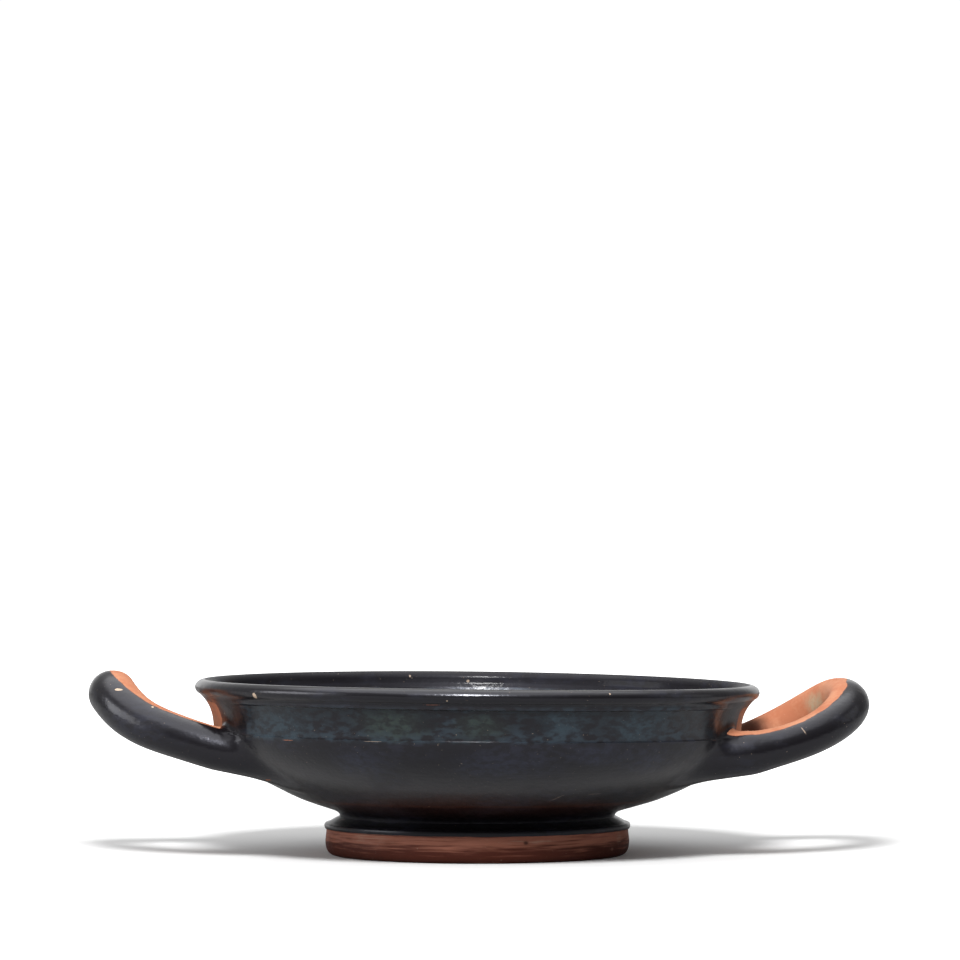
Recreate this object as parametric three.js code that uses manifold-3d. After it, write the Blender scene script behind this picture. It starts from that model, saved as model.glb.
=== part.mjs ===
// Black-gloss stemless kylix: a thrown bowl on a ring foot with two horizontal
// loop handles, fired as one piece. Millimetres, +Z up. The origin is the middle
// of the resting face of the foot, and the handles lie along X.
import * as THREE from "three";
import { mergeVertices } from "three/addons/utils/BufferGeometryUtils.js";
import Module from "manifold-3d";

const wasm = await Module();
wasm.setup();

// Rim: a rounded moulding, most of an ellipse in section, and the widest part of the bowl
const RIM_RADIUS = 82.1;
const RIM_TOP_HEIGHT = 50.6;
const RIM_WIDTH = 5.4;
const RIM_THICKNESS = 4.4;
const RIM_START_DEGREES = -60;
const RIM_END_DEGREES = 175;

// Foot: a heavy ring with a rounded side and a thin edge that stands proud above it
const FOOT_RADIUS = 44.2;
const FOOT_SIDE_HEIGHT = 7.4;
const FOOT_REST_OUTER = 41.6;
const FOOT_REST_INNER = 33.4;
const FOOT_BELLY_HEIGHT = 4.2;
const FOOT_EDGE_PROUD = 0.3;
const FOOT_EDGE_BAND = 2.0;
const FOOT_GROOVE_DEPTH = 0.35;
const FOOT_TOP_INSET = 0.8;

// Neck: the short waist between the foot and the bowl
const NECK_RADIUS = 40.0;
const NECK_HEIGHT = 11.2;
const THROAT_RADIUS = 42.4;
const THROAT_HEIGHT = 13.2;

// Hollow under the foot, with a small turned point in its middle
const HOLLOW_RADIUS = 29.5;
const HOLLOW_DEPTH = 9.9;
const HOLLOW_EDGE_DROP = 0.8;
const HOLLOW_POINT = 1.4;
const HOLLOW_POINT_RADIUS = 8.9;
const HOLLOW_EDGE_ROUND = 4.4;
const HOLLOW_SIDE_BULGE = 1.2;

// Bowl: it spreads over the neck, swells below, and steps in at the offset, inside the rim
const SPREAD_RADIUS = 60.8;
const SPREAD_HEIGHT = 20.5;
const SPREAD_SAG = 0.45;
const BULGE_INSET = 1.7;
const BULGE_RISE = 7.4;
const OFFSET_INSET_WIDTH = 5.1;
const OFFSET_RADIUS = RIM_RADIUS - OFFSET_INSET_WIDTH;
const OFFSET_HEIGHT = 35.8;
const OFFSET_LEDGE = 0.6;
const OFFSET_STEP = 0.35;

// Wall above the offset, slightly waisted, with a narrow fillet under the rim
const WALL_TOP_INSET_WIDTH = 2.9;
const WALL_TOP_RADIUS = RIM_RADIUS - WALL_TOP_INSET_WIDTH;
const WALL_TOP_HEIGHT = 44.5;
const WALL_WAIST = 0.9;
const FILLET_INSET_WIDTH = 2.0;
const FILLET_RADIUS = RIM_RADIUS - FILLET_INSET_WIDTH;
const FILLET_FLARE = 0.3;
const FILLET_HEIGHT = 1.5;
const FILLET_GROOVE = 0.3;

// Inside: one smooth curve from the rim to the floor
const WALL_THICKNESS = 4.2;
const FLOOR_THICKNESS = 5.4;
const INSIDE_SHOULDER_RISE = 2.5;
const INSIDE_TURN_OUT = 6.2;
const INSIDE_TURN_RISE = 6.8;
const INSIDE_SLOPE_IN = 5.0;
const INSIDE_SLOPE_RISE = 2.1;
const INSIDE_FLOOR_EDGE_RISE = 1.2;
const INSIDE_FLOOR_DISH = 0.35;

// The bowl leans a little on its foot, down towards +X, and both handles pull its ends down
const LEAN_DEGREES = 0.65;
const END_DIP_DEPTH = 0.5;

// Handles: rolled clay bent to a loop, luted on below the offset and pulled up.
// The reach is the centre line's, beyond the offset, and the half width its own too.
const HANDLE_HALF_WIDTH = 30.0;
const RIGHT_REACH_LENGTH = 30.5;
const LEFT_REACH_LENGTH = 28.2;

// Heights of the centre line: how far its roots lie below the offset, how far it
// rises from there to the tip, and how much the far arm is lifted over the near one
const RIGHT_ROOT_DEPTH = 4.9;
const LEFT_ROOT_DEPTH = 5.1;
const RIGHT_RISE_HEIGHT = 15.5;
const LEFT_RISE_HEIGHT = 14.7;
const RIGHT_ROOT_LIFT_HEIGHT = -0.6;
const LEFT_ROOT_LIFT_HEIGHT = -1.3;
const RIGHT_TIP_LIFT_HEIGHT = 2.3;
const LEFT_TIP_LIFT_HEIGHT = -1.2;

// The rod: its radius in the arms and at the tip, and how much it thickens at the wall
const RIGHT_ARM_RADIUS = 4.4;
const LEFT_ARM_RADIUS = 5.6;
const RIGHT_TIP_RADIUS = 6.0;
const LEFT_TIP_RADIUS = 7.2;
const RIGHT_FLARE_WIDTH = 1.4;
const LEFT_FLARE_WIDTH = 0.4;

// side is the end of X that the loop is on, turn its twist about the root, and
// squareness the bluntness of its end. rootSlope and innerSlope are the centre
// line's at the offset, outside and inside it. bend and swell say how late the
// rod turns up and thickens towards the tip.
const HANDLES = [
  {
    side: 1,
    turn: 3.0,
    squareness: 2.7,
    reach: RIGHT_REACH_LENGTH,
    rootDepth: RIGHT_ROOT_DEPTH,
    innerSlope: 0.13,
    rootSlope: 0.33,
    rise: RIGHT_RISE_HEIGHT,
    bend: 2,
    rootLift: RIGHT_ROOT_LIFT_HEIGHT,
    tipLift: RIGHT_TIP_LIFT_HEIGHT,
    armRadius: RIGHT_ARM_RADIUS,
    tipRadius: RIGHT_TIP_RADIUS,
    swell: 2,
    flare: RIGHT_FLARE_WIDTH,
  },
  {
    side: -1,
    turn: 3.0,
    squareness: 2.5,
    reach: LEFT_REACH_LENGTH,
    rootDepth: LEFT_ROOT_DEPTH,
    innerSlope: 0.2,
    rootSlope: 0.17,
    rise: LEFT_RISE_HEIGHT,
    bend: 2.2,
    rootLift: LEFT_ROOT_LIFT_HEIGHT,
    tipLift: LEFT_TIP_LIFT_HEIGHT,
    armRadius: LEFT_ARM_RADIUS,
    tipRadius: LEFT_TIP_RADIUS,
    swell: 1,
    flare: LEFT_FLARE_WIDTH,
  },
];
const FLARE_POWER = 4;
const HANDLE_INSET_LENGTH = 22;
const BURIED_LENGTH = 10;

// Facets
const LATHE_SEGMENTS = 72;
const HANDLE_STEPS = 30;
const HANDLE_SIDES = 14;
const MERGE_DISTANCE = 1e-4;

const GLOSS_COLOUR = 0x26252b;
const GLOSS_ROUGHNESS = 0.32;

const Z_AXIS = new THREE.Vector3(0, 0, 1);
const v2 = (x, y) => new THREE.Vector2(x, y);

// Points of a quadratic curve in the profile plane, without its first point
function curveTo(from, control, to, steps) {
  const curve = new THREE.QuadraticBezierCurve(from, control, to);
  return curve.getPoints(steps).slice(1);
}

// Points of a smooth curve through given profile points, without the first one
function splineThrough(points, steps) {
  return new THREE.SplineCurve(points).getPoints(steps).slice(1);
}

// Points of part of an ellipse in the profile plane, from one angle to another
function ellipsePoints(centre, radiusX, radiusY, fromDegrees, toDegrees, steps) {
  const start = THREE.MathUtils.degToRad(fromDegrees);
  const end = THREE.MathUtils.degToRad(toDegrees);
  return new THREE.EllipseCurve(centre.x, centre.y, radiusX, radiusY, start, end).getPoints(steps);
}

// The underside: the hollow under the bowl, down to the resting face of the foot
function undersideProfile() {
  const rest = v2(FOOT_REST_INNER, 0);
  const corner = v2(HOLLOW_RADIUS, HOLLOW_DEPTH - HOLLOW_EDGE_DROP);
  const side = v2(FOOT_REST_INNER - HOLLOW_SIDE_BULGE, corner.y / 2);
  return [
    v2(0, HOLLOW_DEPTH - HOLLOW_POINT),
    v2(HOLLOW_POINT_RADIUS, HOLLOW_DEPTH),
    v2(HOLLOW_RADIUS - HOLLOW_EDGE_ROUND, HOLLOW_DEPTH),
    corner,
    ...curveTo(corner, side, rest, 2),
  ];
}

// The outside of the foot, from the resting face to the neck
function footProfile() {
  const rest = v2(FOOT_REST_OUTER, 0);
  const belly = v2(FOOT_RADIUS, FOOT_BELLY_HEIGHT);
  const groove = v2(FOOT_RADIUS - FOOT_GROOVE_DEPTH, FOOT_SIDE_HEIGHT);
  const edge = v2(FOOT_RADIUS + FOOT_EDGE_PROUD, FOOT_SIDE_HEIGHT + FOOT_EDGE_BAND * 0.6);
  const edgeLow = v2(FOOT_RADIUS + FOOT_EDGE_PROUD * 0.6, FOOT_SIDE_HEIGHT + FOOT_EDGE_BAND * 0.2);
  const top = v2(FOOT_RADIUS - FOOT_TOP_INSET, FOOT_SIDE_HEIGHT + FOOT_EDGE_BAND);
  const neck = v2(NECK_RADIUS, NECK_HEIGHT);
  const slope = v2(THREE.MathUtils.lerp(neck.x, top.x, 0.4), THREE.MathUtils.lerp(neck.y, top.y, 0.3));
  return [
    rest,
    ...curveTo(rest, v2(FOOT_RADIUS, 0), belly, 3),
    groove,
    edgeLow,
    edge,
    top,
    ...curveTo(top, slope, neck, 2),
  ];
}

// The outside from the neck to the edge of the offset
function lowerBowlProfile() {
  const neck = v2(NECK_RADIUS, NECK_HEIGHT);
  const throat = v2(THROAT_RADIUS, THROAT_HEIGHT);
  const spread = v2(SPREAD_RADIUS, SPREAD_HEIGHT);
  const offset = v2(OFFSET_RADIUS, OFFSET_HEIGHT);
  const sag = throat.clone().lerp(spread, 0.5).add(v2(SPREAD_SAG, -SPREAD_SAG));
  const bulge = v2(OFFSET_RADIUS - BULGE_INSET, SPREAD_HEIGHT + BULGE_RISE);
  return [
    ...curveTo(neck, v2(neck.x, THREE.MathUtils.lerp(neck.y, throat.y, 0.6)), throat, 2),
    ...splineThrough([throat, sag, spread], 4),
    ...curveTo(spread, bulge, offset, 6),
  ];
}

// The outside from the offset to the fillet under the rim
function wallProfile() {
  const foot = v2(OFFSET_RADIUS - OFFSET_LEDGE, OFFSET_HEIGHT + OFFSET_STEP);
  const top = v2(WALL_TOP_RADIUS, WALL_TOP_HEIGHT);
  const waist = foot.clone().lerp(top, 0.5).add(v2(-WALL_WAIST, 0));
  return [
    foot,
    ...curveTo(foot, waist, top, 3),
    v2(FILLET_RADIUS, WALL_TOP_HEIGHT + FILLET_GROOVE),
    v2(FILLET_RADIUS + FILLET_FLARE, WALL_TOP_HEIGHT + FILLET_HEIGHT),
  ];
}

// The rim, from its under edge over the crest to its inside
function rimProfile() {
  const centre = v2(RIM_RADIUS - RIM_WIDTH / 2, RIM_TOP_HEIGHT - RIM_THICKNESS / 2);
  const radii = [RIM_WIDTH / 2, RIM_THICKNESS / 2];
  return ellipsePoints(centre, ...radii, RIM_START_DEGREES, RIM_END_DEGREES, 9);
}

// The inside, from under the rim to the middle of the floor
function insideProfile() {
  const floor = HOLLOW_DEPTH + FLOOR_THICKNESS;
  const lip = v2(RIM_RADIUS - RIM_WIDTH, RIM_TOP_HEIGHT - RIM_THICKNESS * 0.75);
  const shoulder = v2(OFFSET_RADIUS - WALL_THICKNESS, OFFSET_HEIGHT + INSIDE_SHOULDER_RISE);
  const turn = v2(SPREAD_RADIUS + INSIDE_TURN_OUT, SPREAD_HEIGHT + INSIDE_TURN_RISE);
  const slope = v2(SPREAD_RADIUS - INSIDE_SLOPE_IN, SPREAD_HEIGHT + INSIDE_SLOPE_RISE);
  const edge = v2(THROAT_RADIUS, NECK_HEIGHT + FLOOR_THICKNESS + INSIDE_FLOOR_EDGE_RISE);
  return [
    lip,
    ...splineThrough([lip, shoulder, turn, slope, edge], 8),
    v2(NECK_RADIUS / 2, floor + INSIDE_FLOOR_DISH),
    v2(0, floor),
  ];
}

// Everything inside the middle of the wall, which keeps handle roots out of the cup
function wallCoreProfile() {
  const half = WALL_THICKNESS / 2;
  const outside = [...lowerBowlProfile(), ...wallProfile()];
  const above = RIM_TOP_HEIGHT * 2;
  return [
    v2(0, NECK_HEIGHT + half),
    v2(NECK_RADIUS - half, NECK_HEIGHT + half),
    ...outside.map((point) => v2(point.x - half, point.y + half / 2)),
    v2(RIM_RADIUS - half, above),
    v2(0, above),
  ];
}

// A lathe turned so that its axis is Z
function turned(profile) {
  return new THREE.LatheGeometry(profile, LATHE_SEGMENTS).rotateX(Math.PI / 2);
}

// Leans everything above the neck down towards +X with both its ends dipped, and
// leaves the foot level
function lean(geometry) {
  const slope = Math.tan(THREE.MathUtils.degToRad(LEAN_DEGREES));
  const position = geometry.attributes.position;
  for (let i = 0; i < position.count; i += 1) {
    const z = position.getZ(i);
    const share = THREE.MathUtils.smoothstep(z, NECK_HEIGHT, SPREAD_HEIGHT);
    const x = position.getX(i);
    const dip = END_DIP_DEPTH * Math.min(Math.abs(x) / RIM_RADIUS, 1) ** 2;
    position.setZ(i, z - (slope * x + dip) * share);
  }
  return geometry;
}

// A closed manifold solid from a three.js geometry
function solid(geometry) {
  const bare = geometry.clone();
  bare.deleteAttribute("normal");
  bare.deleteAttribute("uv");
  const merged = mergeVertices(bare, MERGE_DISTANCE);
  const vertProperties = Float32Array.from(merged.attributes.position.array);
  const triVerts = Uint32Array.from(merged.index.array);
  return new wasm.Manifold(new wasm.Mesh({ numProp: 3, vertProperties, triVerts }));
}

// How far out a point of a handle is: 0 at the bowl's offset, 1 at the tip
function outwardShare(handle, x) {
  return (Math.abs(x) - OFFSET_RADIUS) / handle.reach;
}

// The centre line of one loop handle, from the near root to the far root
class HandleCurve extends THREE.Curve {
  constructor(handle) {
    super();
    this.handle = handle;
  }

  getPoint(t, target = new THREE.Vector3()) {
    const { side, turn, squareness, reach, rootDepth, innerSlope, rootSlope } = this.handle;
    const { rise, bend, rootLift, tipLift } = this.handle;
    const start = OFFSET_RADIUS - HANDLE_INSET_LENGTH;
    const angle = (t - 0.5) * Math.PI;
    const power = 2 / squareness;
    const out = Math.pow(Math.max(Math.cos(angle), 0), power);
    const across = Math.sign(Math.sin(angle)) * Math.pow(Math.abs(Math.sin(angle)), power);
    const x = start + (HANDLE_INSET_LENGTH + reach) * out;
    const share = outwardShare(this.handle, x);
    const beyond = THREE.MathUtils.clamp(share, 0, 1);
    const straight = reach * (rootSlope * beyond + innerSlope * Math.min(share, 0));
    const curved = (rise - rootSlope * reach) * Math.pow(beyond, bend);
    const lift = THREE.MathUtils.lerp(rootLift, tipLift, beyond) * across;
    const height = OFFSET_HEIGHT - rootDepth + straight + curved + lift;
    target.set((x - OFFSET_RADIUS) * side, HANDLE_HALF_WIDTH * across, height);
    target.applyAxisAngle(Z_AXIS, THREE.MathUtils.degToRad(turn));
    target.x += OFFSET_RADIUS * side;
    return target;
  }
}

// The radius of a handle's rod at one point of its centre line
function rodRadius(handle, centre) {
  const share = outwardShare(handle, centre.x);
  const toTip = THREE.MathUtils.clamp(share, 0, 1);
  const spread = Math.max(-share, 0) / 2 + Math.pow(1 - toTip, FLARE_POWER);
  const thickening = Math.pow(toTip, handle.swell);
  return THREE.MathUtils.lerp(handle.armRadius, handle.tipRadius, thickening) + handle.flare * spread;
}

// One ring of points round the rod's centre line
function rodRing(centre, along, radius) {
  const across = along.clone().cross(Z_AXIS).normalize();
  const above = across.clone().cross(along).normalize();
  return Array.from({ length: HANDLE_SIDES }, (_, k) => {
    const angle = (k / HANDLE_SIDES) * 2 * Math.PI;
    const point = centre.clone().addScaledVector(across, Math.cos(angle) * radius);
    return point.addScaledVector(above, Math.sin(angle) * radius);
  });
}

// A round rod swept along the handle's centre line, with both ends inside the wall
function handleGeometry(handle) {
  const loop = new HandleCurve(handle).getSpacedPoints(HANDLE_STEPS);
  const inward = new THREE.Vector3(-BURIED_LENGTH * handle.side, 0, 0);
  const centres = [loop[0].clone().add(inward), ...loop, loop[HANDLE_STEPS].clone().add(inward)];
  const last = centres.length - 1;
  const points = centres.flatMap((centre, i) => {
    const before = centres[Math.max(i - 1, 0)];
    const after = centres[Math.min(i + 1, last)];
    return rodRing(centre, after.clone().sub(before).normalize(), rodRadius(handle, centre));
  });
  const at = (i, k) => i * HANDLE_SIDES + (k % HANDLE_SIDES);
  const triangles = [];
  for (let i = 0; i < last; i += 1) {
    for (let k = 0; k < HANDLE_SIDES; k += 1) {
      triangles.push(at(i, k), at(i + 1, k), at(i, k + 1));
      triangles.push(at(i, k + 1), at(i + 1, k), at(i + 1, k + 1));
    }
  }
  for (let k = 1; k < HANDLE_SIDES - 1; k += 1) {
    triangles.push(at(0, 0), at(0, k), at(0, k + 1));
    triangles.push(at(last, 0), at(last, k + 1), at(last, k));
  }
  return new THREE.BufferGeometry().setFromPoints(points).setIndex(triangles);
}

// The whole cup: the turned vessel with the handles joined to its wall
function cupSolid() {
  const vessel = turned([
    ...undersideProfile(),
    ...footProfile(),
    ...lowerBowlProfile(),
    ...wallProfile(),
    ...rimProfile(),
    ...insideProfile(),
  ]);
  const core = solid(lean(turned(wallCoreProfile())));
  const rods = HANDLES.map((handle) => solid(lean(handleGeometry(handle))).subtract(core));
  return rods.reduce((cup, rod) => cup.add(rod), solid(lean(vessel)));
}

const cupMesh = cupSolid().getMesh();
const geometry = new THREE.BufferGeometry();
geometry.setAttribute("position", new THREE.Float32BufferAttribute(cupMesh.vertProperties, 3));
geometry.setIndex(new THREE.Uint32BufferAttribute(cupMesh.triVerts, 1));
geometry.computeVertexNormals();

const gloss = new THREE.MeshStandardMaterial({
  color: GLOSS_COLOUR,
  roughness: GLOSS_ROUGHNESS,
  metalness: 0,
});

const kylix = new THREE.Mesh(geometry, gloss);
kylix.name = "kylix_cup";

const group = new THREE.Group();
group.add(kylix);

export default group;
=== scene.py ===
"""The looks of a black-gloss stemless kylix: its fine clay body, slip, wear, studio and camera."""
import logging
import math
from dataclasses import dataclass
from enum import Enum
from functools import reduce

import bpy
import numpy as np
from mathutils import Euler, Matrix, Vector
from mathutils.bvhtree import BVHTree


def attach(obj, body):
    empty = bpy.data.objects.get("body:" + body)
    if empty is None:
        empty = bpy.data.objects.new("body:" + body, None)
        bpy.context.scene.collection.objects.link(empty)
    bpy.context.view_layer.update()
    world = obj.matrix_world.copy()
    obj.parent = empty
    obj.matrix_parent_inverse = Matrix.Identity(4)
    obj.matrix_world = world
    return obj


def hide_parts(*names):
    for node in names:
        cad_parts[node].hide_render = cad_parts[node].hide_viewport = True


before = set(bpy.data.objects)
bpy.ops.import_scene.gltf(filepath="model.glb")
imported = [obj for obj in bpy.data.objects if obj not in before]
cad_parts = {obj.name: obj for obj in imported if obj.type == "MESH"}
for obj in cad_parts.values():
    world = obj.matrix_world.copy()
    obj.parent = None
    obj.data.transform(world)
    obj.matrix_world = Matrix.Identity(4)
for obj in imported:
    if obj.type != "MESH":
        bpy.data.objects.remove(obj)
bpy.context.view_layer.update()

MM = 0.001
IMAGE_SIZE = 960
SENSOR_MM = 36.0
SEAM_GAP = 0.002
SMALLEST_RAGGED = 0.5
TINY = 1e-6

log = logging.getLogger("kylix")

Point = tuple[float, float]
Fade = tuple[float, float, float, float]
Spot = tuple[Vector, Euler, Vector]
Tree = bpy.types.NodeTree
Socket = bpy.types.NodeSocket


def linear(hex_colour: str) -> tuple[float, float, float, float]:
    """Turns an sRGB hex value into linear colour.

    Args:
        hex_colour: Six hex digits.

    Returns:
        Linear red, green, blue and an alpha of one.
    """
    parts = [int(hex_colour[i:i + 2], 16) / 255 for i in (0, 2, 4)]
    red, green, blue = (c / 12.92 if c <= 0.04045 else ((c + 0.055) / 1.055) ** 2.4 for c in parts)
    return (red, green, blue, 1.0)


def add_node(tree: Tree, kind: str, inputs: dict | None = None, **settings: object) -> bpy.types.Node:
    """Adds one node with its settings, values and links.

    Args:
        tree: The node tree.
        kind: The node's type name.
        inputs: A value, a socket or a field for each input, by name or number.
        settings: The node's own properties.

    Returns:
        The new node.
    """
    made = tree.nodes.new(kind)
    for name, value in settings.items():
        setattr(made, name, value)
    for key, value in (inputs or {}).items():
        value = value.socket if isinstance(value, Field) else value
        if isinstance(value, Socket):
            tree.links.new(value, made.inputs[key])
        else:
            made.inputs[key].default_value = value
    return made


class Field:
    """A number or a colour that varies from place to place, worked out with plain arithmetic."""

    def __init__(self, socket: Socket) -> None:
        """Holds the node output that carries it."""
        self.socket = socket

    def worked(self, kind: str, inputs: dict, output: int = 0, **settings: object) -> "Field":
        """Adds the node that works out a new field from this one."""
        return Field(add_node(self.socket.id_data, kind, inputs, **settings).outputs[output])

    def __add__(self, other: "Field | float") -> "Field":
        """The sum."""
        return self.worked("ShaderNodeMath", {0: self, 1: other}, operation="ADD")

    def __sub__(self, other: "Field | float") -> "Field":
        """The difference."""
        return self.worked("ShaderNodeMath", {0: self, 1: other}, operation="SUBTRACT")

    def __rsub__(self, other: float) -> "Field":
        """What is left of a plain number."""
        return self.worked("ShaderNodeMath", {0: other, 1: self}, operation="SUBTRACT")

    def __mul__(self, other: "Field | float") -> "Field":
        """The product."""
        return self.worked("ShaderNodeMath", {0: self, 1: other}, operation="MULTIPLY")

    def __abs__(self) -> "Field":
        """The size without its sign."""
        return self.worked("ShaderNodeMath", {0: self}, operation="ABSOLUTE")

    def either(self, other: "Field") -> "Field":
        """The greater of the two."""
        return self.worked("ShaderNodeMath", {0: self, 1: other}, operation="MAXIMUM")

    def fade(
        self, start: float, end: float, low: "Field | float" = 0.0, high: "Field | float" = 1.0
    ) -> "Field":
        """A smooth change from the low to the high value while this goes from start to end."""
        inputs = {"Value": self, "From Min": start, "From Max": end, "To Min": low, "To Max": high}
        return self.worked("ShaderNodeMapRange", inputs, interpolation_type="SMOOTHSTEP")

    def mix(self, under: "Field | str", over: "Field | str") -> "Field":
        """One colour where this is 0 and another where it is 1, each a field or a hex value."""
        under, over = (linear(colour) if isinstance(colour, str) else colour for colour in (under, over))
        return self.worked("ShaderNodeMix", {0: self, 6: under, 7: over}, 2, data_type="RGBA")


def select_only(*objects: bpy.types.Object) -> None:
    """Selects these objects alone and makes the first one active."""
    bpy.ops.object.select_all(action="DESELECT")
    for item in objects:
        item.select_set(True)
    bpy.context.view_layer.objects.active = objects[0]


def positions(mesh: bpy.types.Mesh) -> np.ndarray:
    """Returns a mesh's vertices in millimetres, one row each."""
    flat = np.empty(len(mesh.vertices) * 3)
    mesh.vertices.foreach_get("co", flat)
    return flat.reshape(-1, 3) / MM


def move_to(mesh: bpy.types.Mesh, places: np.ndarray) -> None:
    """Puts a mesh's vertices at these places, in millimetres."""
    mesh.vertices.foreach_set("co", (places * MM).ravel())
    mesh.update()


def smooth(share: np.ndarray) -> np.ndarray:
    """Eases shares between 0 and 1 in and out."""
    return share * share * (3 - 2 * share)


def curve_to(start: Point, control: Point, end: Point, steps: int) -> list[Point]:
    """Points of a quadratic curve in the profile plane, without its first point."""
    found = []
    for i in range(1, steps + 1):
        t = i / steps
        a, b, c = (1 - t) ** 2, 2 * t * (1 - t), t * t
        x, z = (a * start[k] + b * control[k] + c * end[k] for k in range(2))
        found.append((x, z))
    return found


def spline_through(points: list[Point], steps: int) -> list[Point]:
    """Points of a smooth curve through given profile points, without the first one.

    Args:
        points: The points that the curve passes through.
        steps: The number of pieces that the whole curve is cut into.

    Returns:
        The curve's points.
    """
    ends = np.array([points[0], *points, points[-1]])
    found = []
    for i in range(1, steps + 1):
        place = (len(points) - 1) * i / steps
        k = min(int(place), len(points) - 2)
        t = place - k
        p0, p1, p2, p3 = ends[k:k + 4]
        v1, v2 = (p2 - p0) / 2, (p3 - p1) / 2
        cubic = (2 * p1 - 2 * p2 + v1 + v2) * t ** 3
        cubic += (3 * p2 - 3 * p1 - 2 * v1 - v2) * t * t + v1 * t + p1
        found.append((float(cubic[0]), float(cubic[1])))
    return found


def arc_points(centre: Point, radii: Point, start: float, end: float, steps: int) -> list[Point]:
    """Points of part of an ellipse in the profile plane, between two angles in degrees."""
    angles = [math.radians(start + (end - start) * i / steps) for i in range(steps + 1)]
    return [(centre[0] + radii[0] * math.cos(a), centre[1] + radii[1] * math.sin(a)) for a in angles]


def between(a: Point, b: Point, share: float) -> Point:
    """The point at a share of the way from one point to another."""
    return (a[0] + (b[0] - a[0]) * share, a[1] + (b[1] - a[1]) * share)


@dataclass
class BowlSizes:
    """The turned sizes of the vessel, in millimetres, as radii and heights over the table."""

    foot_radius: float = 44.2
    foot_side_height: float = 7.4
    rest_outer: float = 41.6
    rest_inner: float = 33.4
    belly_height: float = 4.2
    edge_proud: float = 0.3
    edge_band: float = 2.0
    groove_depth: float = 0.35
    top_inset: float = 0.8
    neck: Point = (40.0, 11.2)
    throat: Point = (42.4, 13.2)
    hollow_radius: float = 29.5
    hollow_depth: float = 9.9
    hollow_edge_drop: float = 0.8
    hollow_edge_round: float = 4.4
    hollow_side_bulge: float = 1.2
    hollow_point: float = 1.4
    hollow_point_radius: float = 8.9
    spread: Point = (60.8, 20.5)
    spread_sag: float = 0.45
    bulge_inset: float = 1.7
    bulge_rise: float = 7.4
    offset: Point = (77.0, 35.8)
    offset_ledge: float = 0.6
    offset_step: float = 0.35
    offset_round: Point = (0.12, 0.1)
    wall_top: Point = (79.2, 44.5)
    wall_waist: float = 0.9
    fillet_radius: float = 80.1
    fillet_flare: float = 0.3
    fillet_height: float = 1.5
    fillet_groove: float = 0.3
    rim_radius: float = 82.1
    rim_top: float = 50.6
    rim_width: float = 5.4
    rim_thickness: float = 4.4
    wall_thickness: float = 4.2
    floor_thickness: float = 5.4
    shoulder_rise: float = 2.5
    turn: Point = (6.2, 6.8)
    slope: Point = (5.0, 2.1)
    floor_edge_rise: float = 1.2
    floor_dish: float = 0.35
    lean_degrees: float = 0.65
    end_dip: float = 0.5

    def underside(self) -> list[Point]:
        """The hollow under the bowl, down to the resting face of the foot."""
        corner = (self.hollow_radius, self.hollow_depth - self.hollow_edge_drop)
        side = (self.rest_inner - self.hollow_side_bulge, corner[1] / 2)
        start = (0.0, self.hollow_depth - self.hollow_point)
        point = (self.hollow_point_radius, self.hollow_depth)
        edge = (self.hollow_radius - self.hollow_edge_round, self.hollow_depth)
        return [
            start,
            *[between(start, point, k / 6) for k in range(1, 6)],
            *[between(point, edge, k / 12) for k in range(13)],
            *curve_to(edge, (self.hollow_radius - 1.5, self.hollow_depth), corner, 4),
            *curve_to(corner, side, (self.rest_inner, 0.5), 8),
            *curve_to((self.rest_inner, 0.5), (self.rest_inner, 0.0), (self.rest_inner + 0.8, 0.0), 3),
        ]

    def foot(self) -> list[Point]:
        """The outside of the foot, from the resting face to the neck."""
        radius = self.foot_radius
        rest = (self.rest_outer, 0.0)
        belly = (radius, self.belly_height)
        groove = (radius - self.groove_depth, self.foot_side_height)
        crest = (radius + self.edge_proud, self.foot_side_height + self.edge_band * 0.55)
        top = (radius - self.top_inset, self.foot_side_height + self.edge_band)
        slope = between(self.neck, top, 0.4)
        slope = (slope[0], self.neck[1] + (top[1] - self.neck[1]) * 0.3)
        face = (self.rest_inner + 0.8, 0.0)
        return [
            *[between(face, rest, k / 6) for k in range(1, 7)],
            *curve_to(rest, (radius, 0.0), belly, 10),
            *[between(belly, groove, k / 4) for k in range(1, 5)],
            *curve_to(groove, (radius + self.edge_proud, self.foot_side_height + 0.2), crest, 5),
            *curve_to(crest, (radius + self.edge_proud, top[1]), top, 5),
            *curve_to(top, slope, self.neck, 6),
        ]

    def lower_bowl(self) -> list[Point]:
        """The outside from the neck to the edge of the offset."""
        middle = between(self.throat, self.spread, 0.5)
        sag = (middle[0] + self.spread_sag, middle[1] - self.spread_sag)
        bulge = (self.offset[0] - self.bulge_inset, self.spread[1] + self.bulge_rise)
        waist = (self.neck[0], self.neck[1] + (self.throat[1] - self.neck[1]) * 0.6)
        return [
            *curve_to(self.neck, waist, self.throat, 5),
            *spline_through([self.throat, sag, self.spread], 18),
            *curve_to(self.spread, bulge, self.offset, 24),
        ]

    def wall(self) -> list[Point]:
        """The outside from the offset to the fillet under the rim."""
        foot = (self.offset[0] - self.offset_ledge, self.offset[1] + self.offset_step)
        lip = (self.offset[0] - self.offset_round[0], self.offset[1] + self.offset_round[1])
        middle = between(foot, self.wall_top, 0.5)
        waist = (middle[0] - self.wall_waist, middle[1])
        low = (self.fillet_radius, self.wall_top[1] + self.fillet_groove)
        high = (self.fillet_radius + self.fillet_flare, self.wall_top[1] + self.fillet_height)
        return [
            lip,
            foot,
            *curve_to(foot, waist, self.wall_top, 12),
            between(self.wall_top, low, 0.7),
            *curve_to(low, (low[0] + 0.25, low[1]), (low[0] + 0.3, low[1] + 0.3), 2),
            between(low, high, 0.7),
            high,
        ]

    def outside(self) -> list[Point]:
        """The outside, from the resting face to under the rim."""
        return [*self.foot(), *self.lower_bowl(), *self.wall()]

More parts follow.
